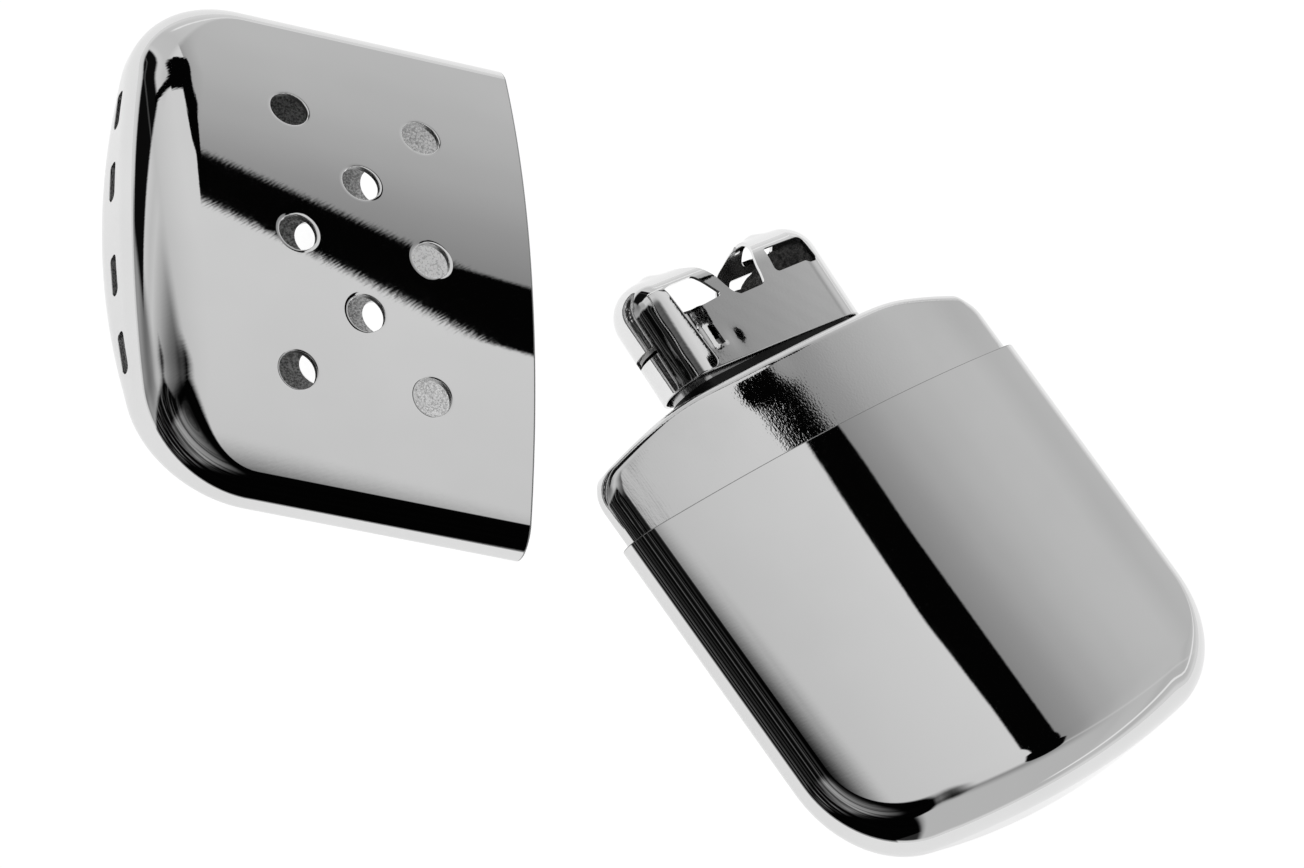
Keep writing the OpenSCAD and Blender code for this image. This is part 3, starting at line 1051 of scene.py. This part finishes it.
case_m = chrome("bright_chrome", hairs=0.16)
cap_m = chrome("bright_chrome_cap", turn=math.radians(54.223), hairs=0.5)
cage_m = chrome("nickel_plate", 0.76, 0.035, 0.05, dents=0.8, dent_depth=2.4e-6)
# painted shade: the neck ring is nearly black so that it reads as the shadow gap under the burner's foot
neck_shadow_dark_m = chrome("brass_painted_shadow_dark", 0.02, 0.3, 0.15, dents=0.9, dent_depth=3e-5)
brass_m = chrome("plated_brass", 0.42, 0.16, 0.12, dents=0.6, dent_depth=8e-6)
rim_m = chrome("cut_edge", 0.28, 0.14, 0.1, dents=0.6, dent_depth=6e-6)
steel_m = chrome("plain_steel_sheet", 0.26, 0.3, 0.15)
inner_m, t, b = material("satin_inside_painted_light")
v = coords(t)
spark = noise(t, v, 3600.0, 3.0, 0.75)
tc = t.nodes.new("ShaderNodeTexCoord")
sep = t.nodes.new("ShaderNodeSeparateXYZ")
t.links.new(tc.outputs["Object"], sep.inputs[0])
depth = (Ex(t, sep.outputs[0]) + 0.0037835) * -0.8113 + (Ex(t, sep.outputs[1]) - 0.0158532) * 0.58463
across = (Ex(t, sep.outputs[0]) + 0.0037835) * 0.58463 + (Ex(t, sep.outputs[1]) - 0.0158532) * 0.8113
# painted light: a band from about half a millimetre to about 19 mm in from the cap's mouth, weaker towards one side,
# gets a brighter base colour and less metal, standing in for light that comes in through the mouth and the vents
painted_light_band = depth.ramp(0.011, 0.019, 1.0, 0.0) * depth.ramp(0.0006, 0.0045) * across.ramp(0.016, 0.027, 1.0, 0.66)
grey(t, b, spark.ramp(0.38, 0.62, 0.16, 0.66).mix(spark.ramp(0.33, 0.66, 0.66, 1.0), painted_light_band))
t.links.new(painted_light_band.ramp(0.0, 1.0, 0.55, 0.0).s, b.inputs["Metallic"])
b.inputs["Emission Color"].default_value = (1.0, 1.0, 1.0, 1.0)
# painted glow: the same band gives off a faint light of its own
t.links.new((painted_light_band * spark.ramp(0.3, 0.65, 0.02, 0.22)).s, b.inputs["Emission Strength"])
b.inputs["Roughness"].default_value = 0.42
bump(t, b, spark, 0.5, 1.5e-5)
inner_cage_m = chrome("nickel_inside", 0.62, 0.22, 0.12, dents=0.4, dent_depth=3e-6)

# satin collar, drawn lengthwise
collar_m, t, b = material("satin_chrome")
b.inputs["Metallic"].default_value = 1.0
v = coords(t, (1, 0.10, 1))
lines = noise(t, v, 4600.0, 1.0, 0.6)
v2 = coords(t)
big = noise(t, v2, 80.0, 3.0)
grey(t, b, big.ramp(0.3, 0.7, 0.67, 0.7))
t.links.new((lines.ramp(0.3, 0.75) * 0.02 + 0.02).s, b.inputs["Roughness"])
tc = t.nodes.new("ShaderNodeTexCoord")
sep = t.nodes.new("ShaderNodeSeparateXYZ")
t.links.new(tc.outputs["Object"], sep.inputs[0])
side = Ex(t, sep.outputs[0]).ramp(0.0150, 0.0195, 1.0, 0.30)
plain = Ex(t, sep.outputs[0]).ramp(-0.004, 0.005, 0.22, 1.0)
grain = noise(t, v2, 3400.0, 0.6, 0.5) * 1.05 + noise(t, v2, 7000.0, 0.5, 0.5) * 0.55
bump(t, b, (lines * side * 0.6) + (grain * plain), 1.0, 3.6e-6)

# catalyst
fibre_m, t, b = material("catalyst_fibre")
v = coords(t)
n1 = noise(t, v, 1500.0, 4.0, 0.65)
n2 = noise(t, coords(t, (1, 6, 1)), 2600.0, 3.0, 0.6)
k = n1 * n2
grey(t, b, k.ramp(0.16, 0.42, 0.002, 0.15), (1.0, 0.98, 0.95))
b.inputs["Roughness"].default_value = 0.95
bump(t, b, k, 0.9, 2.5e-4)

# cotton and felt
cotton_m, t, b = material("packed_cotton")
v = coords(t)
n1 = noise(t, v, 700.0, 5.0, 0.65)
grey(t, b, n1.ramp(0.3, 0.7, 0.62, 0.86), (1.0, 0.985, 0.95))
b.inputs["Roughness"].default_value = 0.95
b.inputs["Sheen Weight"].default_value = 0.4
bump(t, b, n1, 0.6, 2e-4)
felt_m, t, b = material("wick_felt")
v = coords(t)
n1 = noise(t, v, 1800.0, 4.0, 0.7)
grey(t, b, n1.ramp(0.3, 0.7, 0.5, 0.78), (1.0, 0.97, 0.9))
b.inputs["Roughness"].default_value = 1.0
b.inputs["Sheen Weight"].default_value = 0.5
bump(t, b, n1, 0.8, 1.5e-4)

# woven gauze
gauze_m, t, b = material("steel_gauze")
b.inputs["Metallic"].default_value = 1.0
tc = t.nodes.new("ShaderNodeTexCoord")
sep = t.nodes.new("ShaderNodeSeparateXYZ")
t.links.new(tc.outputs["Object"], sep.inputs[0])
gx, gz = Ex(t, sep.outputs[0]), Ex(t, sep.outputs[2])
w1, w2 = (gx * 12000.0).sin().abs(), (gz * 12000.0).sin().abs()
wires = w1.hi(w2)
grey(t, b, wires.ramp(0.2, 0.9, 0.05, 0.5), (1.0, 0.99, 0.96))
b.inputs["Roughness"].default_value = 0.35
bump(t, b, wires, 0.8, 8e-5)


def dress(ob, *mats):
    me = ob.data
    which = [p.material_index for p in me.polygons]
    me.materials.clear()
    for m in mats:
        me.materials.append(m)
    if len(mats) > 1:
        me.polygons.foreach_set("material_index", which)


def finish_piece(ob, body, mat, slot, *nodes, inside=None, rim=None):
    dress(ob, mat, *([inside, rim or mat] if inside else []))
    if nodes:
        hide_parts(*nodes)
    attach(ob, body)


finish_piece(cap, "cap", cap_m, "case_chrome", "cap_shell", inside=inner_m, rim=rim_m)
finish_piece(case, "tank", case_m, "case_chrome", "case_shell", inside=inner_m, rim=rim_m)
finish_piece(collar, "tank", collar_m, "collar_chrome", "tank_collar")
finish_piece(cage, "burner", cage_m, "burner_steel", "burner_cage", inside=inner_cage_m)
finish_piece(flap, "burner", cage_m, "burner_steel")
finish_piece(mat_ob, "burner", fibre_m, "catalyst", "catalyst_mat")
# the neck ring takes the nearly black painted-shade finish
for node, m in (("neck_ring", neck_shadow_dark_m), ("neck_tube", brass_m), ("wick_plug", felt_m), ("wadding_top", cotton_m),
                ("wadding_middle", cotton_m), ("wadding_bottom", cotton_m), ("burner_grip_band", steel_m),
                ("burner_floor", steel_m), ("backing_gauze", gauze_m)):
    ob = NODES[node]
    dress(ob, m)

# ------------------------------------------------------------------ stage
fl = new_object("floor", [(-4, -4, 0), (4, -4, 0), (4, 4, 0), (-4, 4, 0)], [(0, 1, 2, 3)])
fl.location.z = -0.00002
floor_m = bpy.data.materials.new("pale_floor")
floor_m.use_nodes = True
t = floor_m.node_tree
t.nodes.clear()
out = t.nodes.new("ShaderNodeOutputMaterial")
em = t.nodes.new("ShaderNodeEmission")
em.inputs["Color"].default_value = (1, 1, 1, 1)
em.inputs["Strength"].default_value = 0.92
df = t.nodes.new("ShaderNodeBsdfDiffuse")
df.inputs["Color"].default_value = (0.35, 0.35, 0.35, 1)
ad = t.nodes.new("ShaderNodeAddShader")
t.links.new(em.outputs[0], ad.inputs[0])
t.links.new(df.outputs[0], ad.inputs[1])
t.links.new(ad.outputs[0], out.inputs[0])
dress(fl, floor_m)

# ------------------------------------------------------------------ surroundings
world = bpy.data.worlds.new("soft_studio")
bpy.context.scene.world = world
world.use_nodes = True
t = world.node_tree
t.nodes.clear()
tc = t.nodes.new("ShaderNodeTexCoord")
sep = t.nodes.new("ShaderNodeSeparateXYZ")
t.links.new(tc.outputs["Generated"], sep.inputs[0])
dx, dy, dz = (Ex(t, sep.outputs[i]) for i in range(3))
den = dz.hi(-0.9) + 1.0
X, Y = dx / den, dy / den
REFL = 0.69


def env(level):
    return lin(level) / REFL


def seg_dist(ax, ay, bx, by):
    ex, ey = bx - ax, by - ay
    L2 = ex * ex + ey * ey
    f = (((X - ax) * ex + (Y - ay) * ey) * (1.0 / L2)).hi(0.0).lo(1.0)
    qx, qy = X - ax - f * ex, Y - ay - f * ey
    return (qx * qx + qy * qy).sqrt()


def curve(x, stops, levels=True):
    """Value read off a line through the stops (x from -1 to 1)."""
    n = t.nodes.new("ShaderNodeValToRGB")
    n.color_ramp.interpolation = "LINEAR"
    el = n.color_ramp.elements
    while len(el) > 1:
        el.remove(el[-1])
    for k, (at, v) in enumerate(stops):
        e = el[0] if k == 0 else el.new(at * 0.5 + 0.5)
        e.position = at * 0.5 + 0.5
        v = env(v) if levels else v
        e.color = (v, v, v, 1.0)
    t.links.new((x * 0.5 + 0.5).s, n.inputs["Fac"])
    return Ex(t, n.outputs["Color"])


rho = (X * X + Y * Y).sqrt()
# soft grey wall to the right, brighter at its far side
right = curve(X, [(0.33, 124), (0.352, 131), (0.374, 139), (0.393, 145), (0.412, 154), (0.43, 161), (0.449, 165),
                  (0.47, 171), (0.49, 175), (0.51, 177), (0.53, 180), (0.56, 182), (0.61, 183), (0.66, 175),
                  (0.72, 180), (0.90, 200), (0.95, 212)])
right = right.mix(right.hi(env(176)), Y.ramp(-0.28, -0.16, 1.0, 0.0))
# bright ceiling to the left of the bar
left = curve(X, [(0.10, 186), (0.13, 190), (0.22, 197), (0.30, 202)])
# the dark bar's two sides lean away as it goes up
side_l = (((Y - 0.062).hi(0.0)) * 0.51 + 0.298).lo(0.372)
side_r = (((Y - 0.125).hi(0.0)) * 0.493 + 0.351).lo(0.425)
past = (X - (side_l + side_r) * 0.5).ramp(-0.004, 0.004)
L = left.mix(right, (past * Y.ramp(-0.20, -0.14)).hi(Y.ramp(-0.20, -0.14, 1.0, 0.0)))
# over the far side
L = L.mix(curve(X, [(0.10, 190), (0.40, 184), (0.75, 209)]), X.ramp(0.2, 0.26) * Y.ramp(0.40, 0.46))
soft = curve(Y, [(0.08, 40), (0.10, 65), (0.16, 112), (0.24, 165), (0.32, 193), (0.38, 186), (0.45, 196)])
L = L.mix(soft, X.ramp(-0.3, -0.2) * X.ramp(0.03, 0.12, 1.0, 0.0))
# grey haze to the upper left
mott = ((X * 9.0 + Y * 4.0).sin() * (Y * 13.0 - X * 5.0).sin()) * 0.10
haze = X.ramp(-0.34, -0.2, 1.0, 0.0) * Y.ramp(0.1, 0.35)
L = L.mix(mott + env(126), haze)
# dark strip over the far side, with a thin light line down it
d2 = Y.ramp(0.465, 0.495) * rho.ramp(0.80, 0.86, 1.0, 0.0) * X.ramp(-0.38, -0.30) * X.ramp(0.17, 0.20, 1.0, 0.0)
L = L.mix((X - 0.08).abs().ramp(0.004, 0.012, env(60), env(11)), d2)
# a thin bright edge above the horizon on the right
edge = rho.ramp(0.757, 0.765) * rho.ramp(0.79, 0.80, 1.0, 0.0) * X.ramp(0.42, 0.48)
L = L.mix(L * 0.0 + env(222), edge)
# dark half to the left and below
xb = curve(Y, [(-0.85, 0.25), (-0.75, 0.35), (-0.64, 0.5), (-0.30, 0.5), (-0.25, 0.60), (-0.20, 0.63), (-0.10, 0.63),
               (-0.03, 0.61), (0.05, 0.57), (0.09, 0.54), (0.12, 0.51)], False)
xb = xb - 0.45
top_lo, top_hi = X.ramp(-0.16, -0.07, 0.21, 0.07), X.ramp(-0.16, -0.07, 0.27, 0.13)
darkz = (X - xb).ramp(-0.012, 0.028, 1.0, 0.0) * Y.ramp(top_lo, top_hi, 1.0, 0.0)
nv = t.nodes.new("ShaderNodeCombineXYZ")
t.links.new((rho * 17.0).s, nv.inputs[0])
t.links.new((Y * 2.4 + X * 1.1).s, nv.inputs[1])
strands = noise(t, nv.outputs[0], 1.0, 3.0, 0.55)
near_y = Y.ramp(-0.30, -0.16) * X.ramp(-0.13, -0.03, 1.0, 0.0)
streak = strands.ramp(0.47, 0.72, env(5), env(112)).mix(strands.ramp(0.45, 0.8, env(2), env(4)), 1.0 - near_y)
L = L.mix(streak, darkz)
# a paler, streaky card nearly overhead
over = curve(X, [(-0.40, 70), (-0.30, 125), (-0.20, 152), (-0.10, 124), (0.0, 76), (0.06, 28)])
over_f = X.ramp(-0.38, -0.30) * X.ramp(0.00, 0.07, 1.0, 0.0) * Y.ramp(-0.24, -0.16) * Y.ramp(0.020, 0.060, 1.0, 0.0)
over_f = over_f * (Y * 0.585 - X * 0.811).ramp(-0.16, -0.10)
L = L.mix(over * strands.ramp(0.38, 0.62, 0.25, 1.0), over_f)
# light near the horizon
horizon = rho.ramp(0.86, 0.94) * (1.0 - darkz)
L = L.mix(L * 0.0 + env(206), horizon)
horizon2 = rho.ramp(0.90, 0.97) * darkz
L = L.mix(L * 0.0 + env(150), horizon2)
# the dark bar
bar_hi = (X - side_l).ramp(-0.002, 0.002) * (X - side_r).ramp(-0.002, 0.002, 1.0, 0.0) * Y.ramp(-0.165, -0.15)
bar_hi = bar_hi * Y.ramp(0.27, 0.30, 1.0, 0.0)
bar_lo = seg_dist(0.322, -0.160, 0.325, -0.10).ramp(0.034, 0.040, 1.0, 0.0)
bar_up = seg_dist(0.40, 0.27, 0.395, 0.33).ramp(0.020, 0.027, 1.0, 0.0)
bar_far = seg_dist(0.40, 0.33, 0.32, 0.40).ramp(0.016, 0.022, 1.0, 0.0)
bar_far = bar_far.hi(seg_dist(0.32, 0.40, 0.17, 0.51).ramp(0.008, 0.016, 1.0, 0.0))
bar = bar_hi.hi(bar_lo).hi(bar_up).hi(bar_far)
L = L.mix(L * 0.0 + env(3), bar)
# the camera itself sees a plain pale backdrop
lp = t.nodes.new("ShaderNodeLightPath")
cam_ray = Ex(t, lp.outputs["Is Camera Ray"])
L = L.mix(L * 0.0 + 1.0, cam_ray)
bg = t.nodes.new("ShaderNodeBackground")
cc = t.nodes.new("ShaderNodeCombineColor")
for k in ("Red", "Green", "Blue"):
    t.links.new(L.s, cc.inputs[k])
t.links.new(cc.outputs[0], bg.inputs["Color"])
out = t.nodes.new("ShaderNodeOutputWorld")
t.links.new(bg.outputs[0], out.inputs[0])

sc = bpy.context.scene
sc.view_settings.view_transform = "Standard"
sc.view_settings.look = "None"
sc.view_settings.exposure = 0.0
sc.view_settings.gamma = 1.0

# ------------------------------------------------------------------ camera
cam_d = bpy.data.cameras.new("camera")
cam = bpy.data.objects.new("camera", cam_d)
sc.collection.objects.link(cam)
right_v = (0.69365844, -0.57167919, 0.43820186)
up_v = (0.35025389, 0.79929188, 0.48831824)
back_v = (-0.62941257, -0.18524416, 0.75466842)
pos = (-0.4675435, -0.1432318, 0.5707247)
cam.matrix_world = Matrix((
    (right_v[0], up_v[0], back_v[0], pos[0]),
    (right_v[1], up_v[1], back_v[1], pos[1]),
    (right_v[2], up_v[2], back_v[2], pos[2]),
    (0, 0, 0, 1)))
cam_d.sensor_width = 36.0
cam_d.lens = 179.51
cam_d.clip_start, cam_d.clip_end = 0.01, 20.0
sc.camera = cam
